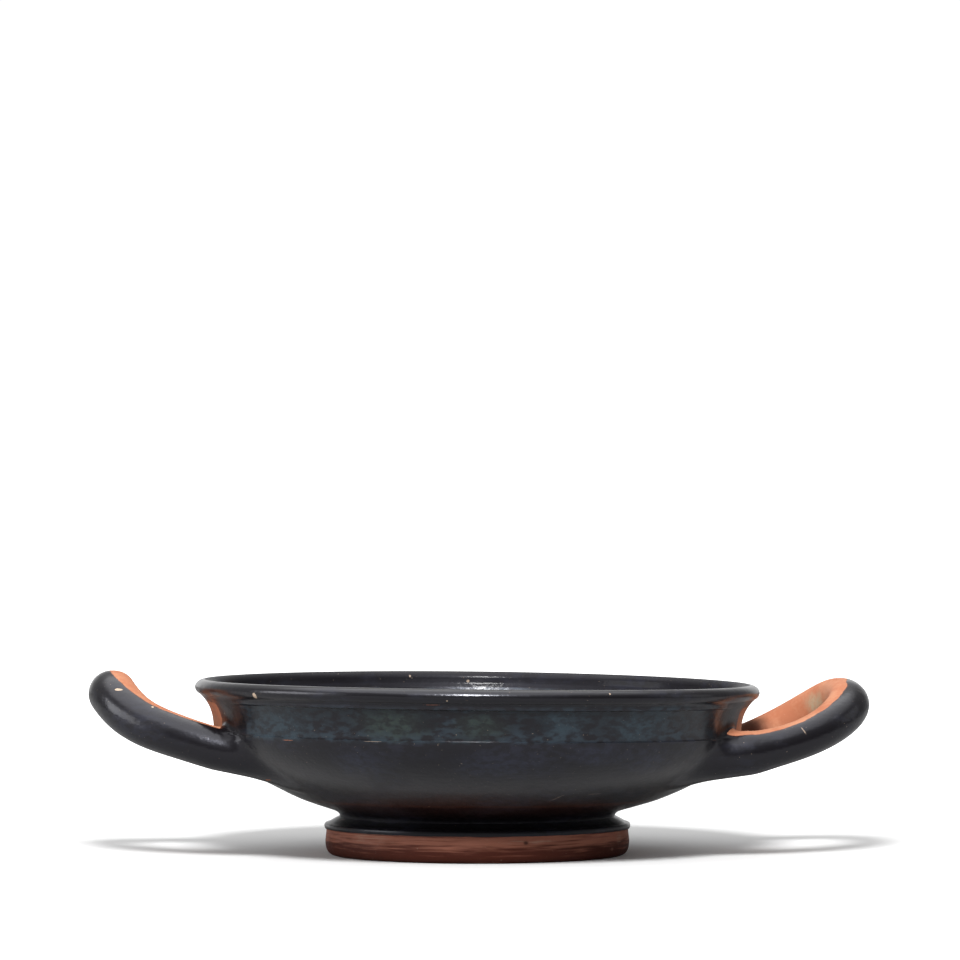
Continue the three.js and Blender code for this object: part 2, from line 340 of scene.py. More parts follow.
    def rim(self) -> list[Point]:
        """The rim, from its under edge over the crest to its inside."""
        radii = (self.rim_width / 2, self.rim_thickness / 2)
        centre = (self.rim_radius - radii[0], self.rim_top - radii[1])
        return arc_points(centre, radii, -60, 175, 30)

    def inside(self) -> list[Point]:
        """The inside, from under the rim to the middle of the floor."""
        floor = self.hollow_depth + self.floor_thickness
        lip = (self.rim_radius - self.rim_width, self.rim_top - self.rim_thickness * 0.75)
        shoulder = (self.offset[0] - self.wall_thickness, self.offset[1] + self.shoulder_rise)
        turn = (self.spread[0] + self.turn[0], self.spread[1] + self.turn[1])
        slope = (self.spread[0] - self.slope[0], self.spread[1] + self.slope[1])
        edge = (self.throat[0], self.neck[1] + self.floor_thickness + self.floor_edge_rise)
        dish = (self.neck[0] / 2, floor + self.floor_dish)
        return [
            lip,
            *spline_through([lip, shoulder, turn, slope, edge], 44),
            *spline_through([edge, dish, (0.0, floor)], 26),
        ]

    def outline(self) -> list[Point]:
        """The whole closed profile, from the axis under the bowl to the axis inside it."""
        return [*self.underside(), *self.outside(), *self.rim(), *self.inside()]

    def core(self) -> list[Point]:
        """Everything inside the middle of the wall, which keeps handle roots out of the cup."""
        half = self.wall_thickness / 2
        low, above = self.neck[1] + half, self.rim_top * 2
        middle = [(x - half, z + half / 2) for x, z in [*self.lower_bowl(), *self.wall()]]
        top = [(self.rim_radius - half, above), (0.0, above)]
        return [(0.0, low), (self.neck[0] - half, low), *middle, *top]

    def lean(self, places: np.ndarray) -> np.ndarray:
        """Leans everything above the neck down towards +X, with both its ends dipped.

        Args:
            places: Vertex places in millimetres.

        Returns:
            The moved places.
        """
        share = smooth(np.clip((places[:, 2] - self.neck[1]) / (self.spread[1] - self.neck[1]), 0, 1))
        dip = self.end_dip * np.minimum(np.abs(places[:, 0]) / self.rim_radius, 1) ** 2
        moved = places.copy()
        moved[:, 2] -= (math.tan(math.radians(self.lean_degrees)) * places[:, 0] + dip) * share
        return moved


class Side(Enum):
    """The end of X that a handle is on."""

    RIGHT = 1
    LEFT = -1


@dataclass
class HandleSizes:
    """One rolled loop handle, in millimetres. Heights are those of the rod's centre line."""

    side: Side
    reach: float
    root_depth: float
    inner_slope: float
    root_slope: float
    rise: float
    bend: float
    root_lift: float
    tip_lift: float
    arm_radius: float
    tip_radius: float
    swell: float
    flare: float
    squareness: float
    gloss_past_crest: Point
    far_past_crest: float
    slip_from_x: float
    inner_squareness: float = 1.0
    turn_degrees: float = 3.0
    half_width: float = 30.0
    inset: float = 22.0
    buried: float = 10.0
    flare_power: float = 4.0
    step: float = 1.3

    def centre_line(self, bowl: BowlSizes) -> np.ndarray:
        """The rod's centre line from the near root to the far one.

        Args:
            bowl: The vessel that the handle is luted on.

        Returns:
            Evenly spaced points, one row each.
        """
        edge, height = bowl.offset
        angles = np.linspace(-math.pi / 2, math.pi / 2, 900)
        power = 2 / self.squareness
        out = np.clip(np.cos(angles), 0, None) ** power
        across = np.sign(np.sin(angles)) * np.abs(np.sin(angles)) ** power
        x = edge - self.inset + (self.inset + self.reach) * out
        share = (x - edge) / self.reach
        beyond = np.clip(share, 0, 1)
        straight = self.reach * (self.root_slope * beyond + self.inner_slope * np.minimum(share, 0))
        curved = (self.rise - self.root_slope * self.reach) * beyond ** self.bend
        lift = (self.root_lift + (self.tip_lift - self.root_lift) * beyond) * across
        z = height - self.root_depth + straight + curved + lift
        turn = math.radians(self.turn_degrees)
        flat_x, flat_y = (x - edge) * self.side.value, self.half_width * across
        turned_x = flat_x * math.cos(turn) - flat_y * math.sin(turn) + edge * self.side.value
        turned_y = flat_x * math.sin(turn) + flat_y * math.cos(turn)
        line = np.stack([turned_x, turned_y, z], 1)
        length = np.concatenate([[0], np.cumsum(np.linalg.norm(np.diff(line, axis=0), axis=1))])
        even = np.linspace(0, length[-1], round(length[-1] / self.step))
        return np.stack([np.interp(even, length, line[:, k]) for k in range(3)], 1)

    def section_axes(self, line: np.ndarray, bowl: BowlSizes) -> tuple[np.ndarray, np.ndarray]:
        """The directions into the loop and upwards, square to the rod, at each point of its line."""
        along = np.gradient(line, axis=0)
        inward = np.cross(along, [0, 0, 1.0])
        heart = np.array([bowl.offset[0] * self.side.value, 0, 0]) - line
        inward *= np.sign((inward * heart).sum(1))[:, None]
        inward /= np.linalg.norm(inward, axis=1, keepdims=True)
        above = np.cross(along, inward)
        above *= np.sign(above[:, 2])[:, None]
        above /= np.linalg.norm(above, axis=1, keepdims=True)
        return inward, above

    def radius(self, line: np.ndarray, bowl: BowlSizes) -> np.ndarray:
        """The rod's radius at each point of its centre line."""
        share = (np.abs(line[:, 0]) - bowl.offset[0]) / self.reach
        to_tip = np.clip(share, 0, 1)
        spread = np.maximum(-share, 0) / 2 + (1 - to_tip) ** self.flare_power
        grown = (self.tip_radius - self.arm_radius) * to_tip ** self.swell
        return self.arm_radius + grown + self.flare * spread


RIGHT_HANDLE = HandleSizes(
    side=Side.RIGHT, reach=31.1, root_depth=5.0, inner_slope=0.13, root_slope=0.364,
    rise=15.5, bend=2.8, root_lift=-1.4, tip_lift=3.0,
    arm_radius=4.95, tip_radius=5.9, swell=1.0, flare=1.4, squareness=2.6,
    gloss_past_crest=(30.0, -6.0), far_past_crest=20.0, slip_from_x=69.5,
)
LEFT_HANDLE = HandleSizes(
    side=Side.LEFT, reach=29.1, root_depth=5.35, inner_slope=0.2, root_slope=0.33,
    rise=15.6, bend=5.85, root_lift=-1.2, tip_lift=-0.9,
    arm_radius=5.68, tip_radius=6.85, swell=0.8, flare=0.4, squareness=2.02,
    gloss_past_crest=(14.0, 6.0), far_past_crest=-60.0, slip_from_x=74.0, inner_squareness=0.3,
)


@dataclass(frozen=True)
class CameraView:
    """The photograph's viewpoint: a long lens a little above the rim, level with the bowl."""

    distance: float = 1500.0
    height: float = 101.0
    focal_pixels: float = 5152.2
    pitch_degrees: float = 0.2975
    aside: float = 0.78
    yaw_degrees: float = 2.0

    def place(self) -> Matrix:
        """The camera's place and turn in the object's frame, in metres."""
        yaw = math.radians(-self.yaw_degrees)
        turn = Euler((math.radians(90 + self.pitch_degrees), 0, yaw)).to_matrix().to_4x4()
        where = Matrix.Rotation(yaw, 3, "Z") @ Vector((self.aside, -self.distance, self.height)) * MM
        return Matrix.Translation(where) @ turn

    def ray(self, pixel: Point) -> tuple[Vector, Vector]:
        """The start and direction of the line of sight through one pixel of the photograph."""
        place = self.place()
        half = IMAGE_SIZE / 2
        aim = Vector((pixel[0] - half, half - pixel[1], -self.focal_pixels)).normalized()
        return place.translation.copy(), (place.to_3x3() @ aim).normalized()


class Mark(Enum):
    """The kinds of blemish on the surface."""

    CHIP = "slip gone down to light clay"
    FLECK = "cream speck of lime"
    WEAR = "slip rubbed through to orange"
    # dark smudges on bare clay; the one at the right handle's far root is partly painted shade under the
    # lip
    STAIN_AND_SHADE = "dark smudge on bare clay"
    DEPOSIT = "tan crust of burial soil"
    SCRATCH = "fine light scratch"
    # pale dusty smudges; the two wide bands round the upper foot are painted highlight streaks
    DUST_AND_HIGHLIGHT = "pale dusty smudge"
    BLUE = "blue-grey bloom on the slip"
    GREEN = "greenish bloom on the slip"
    VIOLET = "violet bloom on the slip"
    DARK = "dark mottle in the bloom"


Spots = dict[Mark, list[Spot]]


@dataclass(frozen=True)
class Blemish:
    """One blemish, at a pixel of the photograph, with its half sizes on the surface in millimetres."""

    mark: Mark
    pixel: Point
    size: Point
    to_pixel: Point | None = None


BLEMISHES = (
    Blemish(Mark.CHIP, (254.6, 696.0), (0.75, 0.95)),
    Blemish(Mark.CHIP, (118.5, 689.5), (1.2, 0.5)),
    Blemish(Mark.CHIP, (152.7, 707.0), (0.35, 0.4)),
    Blemish(Mark.CHIP, (610.0, 694.0), (0.3, 0.25)),
    Blemish(Mark.FLECK, (447.0, 701.0), (0.25, 0.25)),
    Blemish(Mark.FLECK, (468.0, 681.0), (0.5, 0.4)),
    Blemish(Mark.FLECK, (410.0, 676.0), (0.35, 0.4)),
    Blemish(Mark.FLECK, (224.5, 713.5), (0.2, 0.25)),
    Blemish(Mark.FLECK, (373.0, 741.6), (2.6, 0.06)),
    Blemish(Mark.FLECK, (429.0, 806.5), (0.25, 0.15)),
    Blemish(Mark.WEAR, (287.0, 740.2), (2.0, 0.1)),
    Blemish(Mark.WEAR, (432.0, 705.0), (2.2, 0.08)),
    Blemish(Mark.WEAR, (268.0, 780.0), (0.9, 0.4)),
    Blemish(Mark.STAIN_AND_SHADE, (526.0, 843.0), (0.7, 0.5)),
    # partly painted shade cast by the lip onto the far arm's root, partly a dark fired patch
    Blemish(Mark.STAIN_AND_SHADE, (751.0, 729.0), (5.0, 4.5)),
    Blemish(Mark.DEPOSIT, (816.0, 703.0), (4.6, 2.9)),
    Blemish(Mark.DUST_AND_HIGHLIGHT, (216.5, 718.0), (2.4, 4.6)),
    Blemish(Mark.DUST_AND_HIGHLIGHT, (738.0, 724.0), (2.0, 4.0)),
    Blemish(Mark.DUST_AND_HIGHLIGHT, (341.0, 820.5), (1.6, 0.8)),
    Blemish(Mark.DUST_AND_HIGHLIGHT, (619.0, 838.0), (1.7, 1.4)),
    Blemish(Mark.DUST_AND_HIGHLIGHT, (612.0, 849.0), (0.8, 0.5)),
    # these two wide bands are painted highlight streaks across the upper foot
    Blemish(Mark.DUST_AND_HIGHLIGHT, (372.0, 838.5), (9.0, 1.1)),
    Blemish(Mark.DUST_AND_HIGHLIGHT, (530.0, 842.0), (10.0, 0.5)),
    Blemish(Mark.SCRATCH, (800.5, 727.0), (0.2, 0.2), (806.0, 734.0)),
    Blemish(Mark.SCRATCH, (550.0, 801.0), (0.1, 0.1), (564.0, 795.0)),
    Blemish(Mark.SCRATCH, (588.0, 794.3), (0.1, 0.1), (601.0, 793.7)),
    Blemish(Mark.BLUE, (277.0, 724.0), (11.0, 4.4)),
    Blemish(Mark.BLUE, (562.0, 722.0), (6.0, 4.0)),
    Blemish(Mark.BLUE, (640.0, 726.0), (9.0, 4.2)),
    Blemish(Mark.GREEN, (395.0, 724.0), (9.0, 4.0)),
    Blemish(Mark.GREEN, (480.0, 726.0), (6.0, 3.4)),
    Blemish(Mark.DARK, (535.0, 727.0), (4.0, 2.8)),
    Blemish(Mark.DARK, (430.0, 722.0), (3.4, 2.6)),
    Blemish(Mark.VIOLET, (360.0, 765.0), (7.0, 5.0)),
    Blemish(Mark.VIOLET, (505.0, 767.0), (12.0, 5.0)),
    Blemish(Mark.VIOLET, (600.0, 757.0), (8.0, 3.4)),
    Blemish(Mark.VIOLET, (650.0, 762.0), (7.0, 3.6)),
)


@dataclass(frozen=True)
class GlossFinish:
    """Attic black gloss: a fine iron-rich slip, brushed on and fired to a thin glassy skin.

    It gives the eye a near black with a soft mirror, bluish or greenish where it bloomed.
    """

    body: str = "110f12"
    blue: str = "2e3a42"
    green: str = "2f3834"
    violet: str = "1a1a22"
    violet_light: str = "2b2d38"
    thin_brown: str = "3c1f17"
    edge_brown: str = "452318"
    sheen: str = "e2e4f5"
    blue_sheen: str = "c6dcec"
    green_sheen: str = "cedcd4"
    violet_sheen: str = "c6caf2"
    roughness: float = 0.28
    matt_roughness: float = 0.42
    inside_specular: float = 0.24
    inside_rougher: float = 0.28
    inside_coat: float = 0.4
    brushed_share: float = 0.36
    coat: float = 0.34
    coat_roughness: float = 0.15
    specular: float = 0.38
    ior: float = 1.5


@dataclass(frozen=True)
class ClayFinish:
    """Attic fired clay: fine and matt, orange, and redder where it was coated with ochre wash."""

    body: str = "b87455"
    light: str = "c68a6a"
    foot: str = "4c2317"
    # the foot's clay towards its top, lightened there by a painted sheen
    foot_clay_and_sheen: str = "9a6350"
    deposit: str = "b59c80"
    chip: str = "cbb49e"
    # pale dust, also the colour of the painted highlight streaks on the foot
    dust_and_highlight: str = "a88474"
    # dark brown of the stains, also used for the painted shade at the right handle's far root
    stain_and_shade: str = "3a211a"
    roughness: float = 0.62
    specular: float = 0.2


@dataclass(frozen=True)
class Lumps:
    """One soft pattern: its lumps in millimetres, its detail, and its stretch level and upright."""

    size: float
    detail: float = 3.0
    stretch: Point = (1.0, 1.0)


@dataclass(frozen=True)
class Pattern:
    """The soft patterns of the surface, at their real sizes."""

    patch: Lumps = Lumps(14.0, 4.0, (1.6, 0.8))
    mottle: Lumps = Lumps(2.2, 6.0, (1.5, 0.7))
    grain: Lumps = Lumps(0.9)
    crumb: Lumps = Lumps(0.9, 4.0)
    speck: Lumps = Lumps(0.55, 2.0)
    smear: Lumps = Lumps(1.0, 4.0, (6.0, 0.4))
    clay_cloud: Lumps = Lumps(9.0)
    clay_grain: Lumps = Lumps(1.1)
    foot_streak: Lumps = Lumps(0.7, 3.0, (18.0, 1.0))
    brush_wobble: Lumps = Lumps(5.0)
    thin_edge: Lumps = Lumps(6.0, 3.0, (3.0, 0.5))
    wheel_line: Lumps = Lumps(0.7, 2.0, (30.0, 1.0))
    dimple: Lumps = Lumps(1.4)
    grit: Lumps = Lumps(2.0, 4.0)
    wave: Lumps = Lumps(7.0, 1.0)


@dataclass(frozen=True)
class Relief:
    """How high the finest relief stands, in millimetres. Grit shows most on bare clay."""

    wheel_line: float = 0.03
    dimple: float = 0.06
    wave: float = 0.06
    grit: float = 0.02
    bare_grit: float = 0.1


@dataclass(frozen=True)
class Contrast:
    """Where each pattern turns from none to all, and for some the two values that it gives there."""

    patch: Point = (0.45, 0.62)
    mottle: Point = (0.4, 0.6)
    grain: Fade = (0.38, 0.62, 0.6, 1.0)
    crumb: Fade = (0.4, 0.6, 0.6, 1.0)
    speck: Point = (0.735, 0.76)
    smear: Fade = (0.42, 0.68, 0.05, 0.6)
    clay: Point = (0.5, 0.85)
    foot: Point = (0.1, 0.95)
    bare: Point = (-0.12, 0.12)
    wobble: Point = (0.3, 1.2)
    thin_rim: Point = (-0.7, 0.0)


@dataclass(frozen=True)
class Cover:
    """How far each mark hides what lies under it, as a share."""

    even_bloom: float = 0.35
    patchy_bloom: float = 0.3
    even_tint: float = 0.4
    mottled_tint: float = 0.5
    dark: float = 0.8
    thin_brown: float = 0.8
    below_line: float = 0.4
    thin_edge: float = 0.7
    flecks: float = 0.5
    wear: float = 0.6
    specks: float = 0.3
    # how far the stains, and the painted shade at the right handle's root, hide the clay
    stain_and_shade: float = 0.85
    clay_grain: float = 0.35
    # how far the painted sheen lifts the foot's colour towards its top
    foot_sheen_rise: float = 0.85
    foot_streak: float = 1.9
    foot_dull: float = 0.5


# how far the edges of each kind of spot wander and fade, as shares of its size
EDGES = {
    Mark.CHIP: (0.35, 0.15),
    Mark.FLECK: (0.5, 0.15),
    Mark.WEAR: (0.8, 0.15),
    Mark.STAIN_AND_SHADE: (0.3, 0.6),
    Mark.DEPOSIT: (0.5, 0.5),
    Mark.DUST_AND_HIGHLIGHT: (0.5, 0.7),
    Mark.BLUE: (0.6, 0.7),
    Mark.GREEN: (0.6, 0.7),
    Mark.VIOLET: (0.6, 0.7),
    Mark.DARK: (0.6, 0.5),
}


@dataclass(frozen=True)
class Zones:
    """Where the looks change: pairs of start and end, in millimetres over the table or off the axis."""

    wall_low: Point = (34.8, 36.2)
    wall_high: Point = (46.5, 44.5)
    line_low: Point = (15.9, 16.4)
    line_high: Point = (17.2, 16.7)
    thin_low: Point = (12.0, 14.5)
    thin_high: Point = (16.8, 16.0)
    above_neck: Point = (12.0, 20.0)
    # the heights over which the painted sheen rises up the foot
    foot_sheen_heights: Point = (1.5, 7.0)
    foot_clay: Point = (12.0, 10.0)
    foot_dull: Point = (14.0, 12.0)
    brushed_low: Point = (33.0, 36.0)
    brushed_high: Point = (47.5, 45.5)
    brushed_radius: Point = (81.4, 80.4)
    inside_radius: Point = (79.8, 79.0)
    panel_degrees: Point = (28.6, 30.6)
    outer_side: Point = (-0.4, 0.4)
    thin_wander: float = 0.9


@dataclass(frozen=True)
class SlipPlan:
    """Where the slip stops, in millimetres: foot, underside, and the wall between the handle arms."""

    foot_slip_height: float = 7.7
    ring: Point = (20.0, 0.9)
    dot: float = 3.2
    panel_half_angle: float = 16.0
    panel_heights: Point = (31.5, 44.2)
    panel_fade: float = 0.09
    below_degrees: float = 45.0
    ring_edge: float = 0.6


@dataclass(frozen=True)
class PanelSweep:
    """The hollow curve that the wall follows between the handle arms, in millimetres."""

    low: Point = (76.43, 34.0)
    high: Point = (80.75, 46.5)
    swell: float = 1.5
    hollow: float = 13.5
    edge_degrees: float = 34.0
    fade_degrees: float = 10.0
    skin: float = 0.4

    def radius(self, t: np.ndarray) -> np.ndarray:
        """The wall's radius at shares of the way up."""
        straight = self.low[0] + (self.high[0] - self.low[0]) * smooth(t)
        return straight + self.swell * t * (1 - t) ** 2 - self.hollow * t * t * (1 - t)


@dataclass(frozen=True)
class JointSizes:
    """The soft hollow where an arm is luted to the bowl, in millimetres."""

    reach: float = 4.0
    margin: float = 0.3
    from_height: float = 18.0
    from_x: float = 40.0
    pace: float = 0.8
    least_slope: float = 0.3
    first_rounds: int = 8
    last_rounds: int = 2
    smoothing: int = 6


class Kylix:
    """The cup itself: one fired piece, a thrown bowl on a ring foot with two loop handles."""

    def __init__(self, bowl: BowlSizes, handles: list[HandleSizes], view: CameraView) -> None:
        """Keeps the sizes and the viewpoint that blemishes are placed from."""
        self.bowl = bowl
        self.handles = handles
        self.view = view
        self.segments = 288
        self.rod_sides = 48
        self.joint = JointSizes()
        self.sweep = PanelSweep()
        self.plan = SlipPlan()
        self.lines = [h.centre_line(bowl) for h in handles]
        self.radii = [h.radius(line, bowl) for h, line in zip(handles, self.lines)]

    def turned(self, name: str, profile: list[Point], segments: int) -> bpy.types.Object:
        """Turns a profile round the Z axis into a closed solid.

        Args:
            name: The new object's name.
            profile: Radius and height of each point, from axis to axis.
            segments: The number of steps round the axis.

        Returns:
            The solid.
        """
        bpy.ops.object.select_all(action="DESELECT")
        first = profile[0]
        bpy.ops.mesh.primitive_plane_add(size=MM, location=(first[0] * MM, 0, first[1] * MM))
        piece = bpy.context.active_object
        piece.name = name
        bpy.ops.object.transform_apply(location=True, rotation=True, scale=True)
        bpy.ops.object.mode_set(mode="EDIT")
        bpy.ops.mesh.select_all(action="SELECT")
        bpy.ops.mesh.merge(type="CENTER")
        for start, end in zip(profile, profile[1:]):
            step = ((end[0] - start[0]) * MM, 0, (end[1] - start[1]) * MM)
            bpy.ops.mesh.extrude_region_move(TRANSFORM_OT_translate={"value": step})
        bpy.ops.mesh.select_all(action="SELECT")
        bpy.ops.mesh.spin(steps=segments, angle=2 * math.pi, center=(0, 0, 0), axis=(0, 0, 1))
        self.close_up()
        return piece

    def close_up(self) -> None:
        """Merges the doubles of the mesh in edit mode, turns its faces outwards and leaves edit mode."""
        bpy.ops.mesh.select_all(action="SELECT")
        bpy.ops.mesh.remove_doubles(threshold=MM * SEAM_GAP)
        bpy.ops.mesh.normals_make_consistent(inside=False)
        bpy.ops.object.mode_set(mode="OBJECT")

    def rod(self, name: str, line: np.ndarray, radius: np.ndarray, buried: float) -> bpy.types.Object:
        """Sweeps one handle's round rod along its centre line, with both ends inside the wall.

        Args:
            name: The new object's name.
            line: The centre line in millimetres.
            radius: The rod's radius at each point of it.
            buried: How far each end runs on inside the wall.

        Returns:
            The closed rod.
        """
        inward = np.array([-buried * np.sign(line[0, 0]), 0, 0])
        centres = np.vstack([line[0] + inward, line, line[-1] + inward])
        widths = np.concatenate([[radius[0]], radius, [radius[-1]]])
        bpy.ops.object.select_all(action="DESELECT")
        bpy.ops.curve.primitive_nurbs_path_add(radius=MM)
        rod = bpy.context.active_object
        rod.name = name
        rod.matrix_world = Matrix.Identity(4)
        spline = rod.data.splines[0]
        spline.type = "POLY"
        spline.points.add(len(centres) - len(spline.points))
        for point, centre, width in zip(spline.points, centres, widths):
            point.co = (*[float(c) * MM for c in centre], 1.0)
            point.radius = float(width)
        rod.data.bevel_depth = MM
        rod.data.bevel_resolution = self.rod_sides // 2 - 2
        rod.data.use_fill_caps = True
        select_only(rod)
        bpy.ops.object.convert(target="MESH")
        bpy.ops.object.mode_set(mode="EDIT")
        self.close_up()
        return rod

    def square_inside(
        self, rod: bpy.types.Object, handle: HandleSizes, line: np.ndarray, radius: np.ndarray
    ) -> None:
        """Flattens the inner side of a rod towards its tip, as if pressed by the fingers.

        Args:
            rod: The swept rod.
            handle: Its sizes.
            line: Its centre line in millimetres.
            radius: Its radius at each point of it.
        """
        places = positions(rod.data)
        inward, above = handle.section_axes(line, self.bowl)
        reach = ((places[:, None, :] - line[None, :, :]) ** 2).sum(2)
        near = reach.argmin(1)
        offset = places - line[near]
        u, w = (offset * inward[near]).sum(1), (offset * above[near]).sum(1)
        share = np.clip((np.abs(line[near, 0]) - self.bowl.offset[0]) / handle.reach, 0, 1)
        power = 2 + handle.inner_squareness * share ** 2
        size = np.maximum(np.hypot(u, w), TINY)
        unit = np.maximum((np.abs(u / size) ** power + np.abs(w / size) ** power) ** (1 / power), TINY)
        grow = np.where(u > 0, 1 / unit - 1, 0) * (size > radius[near] * 0.7)
        places += grow[:, None] * (u[:, None] * inward[near] + w[:, None] * above[near])
        move_to(rod.data, places)

    def combine(self, target: bpy.types.Object, tool: bpy.types.Object, operation: str) -> None:
        """Cuts or joins one solid with another, which stays.

        Args:
            target: The solid that changes.
            tool: The solid that cuts it or is joined to it.
            operation: DIFFERENCE or UNION.
        """
        select_only(target)
        bpy.ops.object.modifier_add(type="BOOLEAN")
        modifier = target.modifiers[-1]
        modifier.operation = operation
        modifier.solver = "EXACT"
        modifier.object = tool
        bpy.ops.object.modifier_apply(modifier=modifier.name)

    def bowl_field(
        self, places: np.ndarray, shift: np.ndarray | None = None
    ) -> tuple[np.ndarray, np.ndarray]:
        """Measures places against the bowl's outside.

        Args:
            places: Places in millimetres, before the lean.
            shift: How far out the wall is swept there, or None to find it.

        Returns:
            The distance outside the bowl, negative inside, and the way out of it.
        """
        across = np.hypot(places[:, 0], places[:, 1])
        shift = self.panel_shift(places) if shift is None else shift
        flat = np.stack([across - np.where(across > self.bowl.spread[0], shift, 0), places[:, 2]], 1)
        outline = np.array([*self.bowl.outside(), *self.bowl.rim()])
        best = np.full(len(places), np.inf)
        sign = np.ones(len(places))
        away = np.zeros((len(places), 2))
        for start, along in zip(outline[:-1], np.diff(outline, axis=0)):
            share = np.clip(((flat - start) @ along) / max(along @ along, 1e-9), 0, 1)
            gap = flat - start - share[:, None] * along
            reach = np.linalg.norm(gap, axis=1)
            closer = reach < best - 1e-9
            best[closer] = reach[closer]
            sign[closer] = np.sign(gap[closer] @ np.array([along[1], -along[0]]))
            away[closer] = np.array([along[1], -along[0]]) / max(np.linalg.norm(along), 1e-9)
        sign[sign == 0] = 1
        sideways = places[:, :2] * (away[:, 0] / across)[:, None]
        return best * sign, np.column_stack([sideways, away[:, 1]])

    def rod_field(self, places: np.ndarray, index: int) -> tuple[np.ndarray, np.ndarray, np.ndarray]:
        """Measures places against one handle's rod.

        Args:
            places: Places in millimetres, before the lean.
            index: The handle's number.

        Returns:
            The distance outside the rod, the way out of it, and where along it each place is.
        """
        line, radius = self.lines[index], self.radii[index]
        best = np.full(len(places), np.inf)
        out = np.zeros((len(places), 3))
        where = np.zeros(len(places))
        for k, along in enumerate(np.diff(line, axis=0)):
            share = np.clip(((places - line[k]) @ along) / (along @ along), 0, 1)
            gap = places - line[k] - share[:, None] * along
            length = np.linalg.norm(gap, axis=1)
            reach = length - radius[k] - (radius[k + 1] - radius[k]) * share
            closer = reach < best
            best[closer] = reach[closer]
            out[closer] = gap[closer] / length[closer, None]
            where[closer] = k + share[closer]
        return best, out, where

    def panel_shift(self, places: np.ndarray) -> np.ndarray:
        """How far out the wall is swept between the arms of each handle, in millimetres.

        The offset and the fillet fade there, and the wall runs up to the lip in one hollow curve.

        Args:
            places: Places in millimetres, before the lean.

        Returns:
            The change of radius at each place.
        """
        sweep = self.sweep
        t = np.clip((places[:, 2] - sweep.low[1]) / (sweep.high[1] - sweep.low[1]), 0, 1)
        profile = np.array([*self.bowl.lower_bowl(), *self.bowl.wall(), *self.bowl.rim()[:6]])
        turned = np.interp(places[:, 2], profile[:, 1], profile[:, 0])
        angle = np.degrees(np.arctan2(np.abs(places[:, 1]), np.abs(places[:, 0])))
        weight = smooth(np.clip((sweep.edge_degrees - angle) / sweep.fade_degrees, 0, 1))
        return np.where((t > 0) & (t < 1), (sweep.radius(t) - turned) * weight, 0)

    def smooth_panels(self, piece: bpy.types.Object) -> None:
        """Sweeps the wall of the joined cup by the panels' shift, before the lean."""
        places = positions(piece.data)
        radius = np.hypot(places[:, 0], places[:, 1])
        shift = self.panel_shift(places)
        from_bowl, _ = self.bowl_field(places, shift * 0)
        scale = np.where(np.abs(from_bowl) < self.sweep.skin, 1 + shift / np.maximum(radius, 1), 1)
        places[:, :2] *= scale[:, None]
        move_to(piece.data, places)

    def soften_joints(self, piece: bpy.types.Object) -> None:
        """Fills the corners where the handles are luted to the bowl into soft hollows.

        Args:
            piece: The joined cup, before the lean.
        """
        for index in range(len(self.handles)):
            near = self.joint_vertices(positions(piece.data), index)
            select_only(piece)
            bpy.ops.object.mode_set(mode="EDIT")
            bpy.ops.mesh.select_mode(type="VERT")
            bpy.ops.mesh.select_all(action="DESELECT")
            bpy.ops.object.mode_set(mode="OBJECT")
            piece.data.vertices.foreach_set("select", near)
            bpy.ops.object.mode_set(mode="EDIT")
            bpy.ops.mesh.quads_convert_to_tris(quad_method="BEAUTY", ngon_method="BEAUTY")
            bpy.ops.mesh.subdivide(number_cuts=1)
            bpy.ops.object.mode_set(mode="OBJECT")
            places = positions(piece.data)
            near = self.joint_vertices(places, index)
            places[near] = self.onto_joint(places[near], index, self.joint.first_rounds)
            move_to(piece.data, places)
            piece.data.vertices.foreach_set("select", near)
            bpy.ops.object.mode_set(mode="EDIT")
            bpy.ops.mesh.vertices_smooth(factor=0.5, repeat=self.joint.smoothing)
            bpy.ops.object.mode_set(mode="OBJECT")
            places = positions(piece.data)
            places[near] = self.onto_joint(places[near], index, self.joint.last_rounds)
            move_to(piece.data, places)

    def onto_joint(self, places: np.ndarray, index: int, rounds: int) -> np.ndarray:
        """Moves places onto the smooth union of the bowl and one handle.

        Args:
            places: Places in millimetres, before the lean.
            index: The handle's number.
            rounds: How many steps they take.

        Returns:
            The moved places.
        """
        joint = self.joint
        for _ in range(rounds):
            from_bowl, off_bowl = self.bowl_field(places)
            from_rod, off_rod, _ = self.rod_field(places, index)
            share = np.clip(0.5 + 0.5 * (from_rod - from_bowl) / joint.reach, 0, 1)
            depth = from_rod * (1 - share) + from_bowl * share - joint.reach * share * (1 - share)
            slope = off_bowl * share[:, None] + off_rod * (1 - share)[:, None]
            steep = np.maximum((slope ** 2).sum(1), joint.least_slope)
            places = places - joint.pace * (depth / steep)[:, None] * slope
        return places

    def joint_vertices(self, places: np.ndarray, index: int) -> np.ndarray:
        """Marks the vertices near the line where one handle meets the bowl's outside."""
        joint = self.joint
        half = joint.reach / 2
        from_bowl, _ = self.bowl_field(places)
        near = (np.abs(from_bowl - half) < half + joint.margin) & (places[:, 2] > joint.from_height)
        near &= places[:, 0] * self.handles[index].side.value > joint.from_x
        found = np.zeros(len(places), bool)
        from_rod, _, _ = self.rod_field(places[near], index)
        found[np.flatnonzero(near)[np.abs(from_rod - half) < half + joint.margin]] = True
        return found

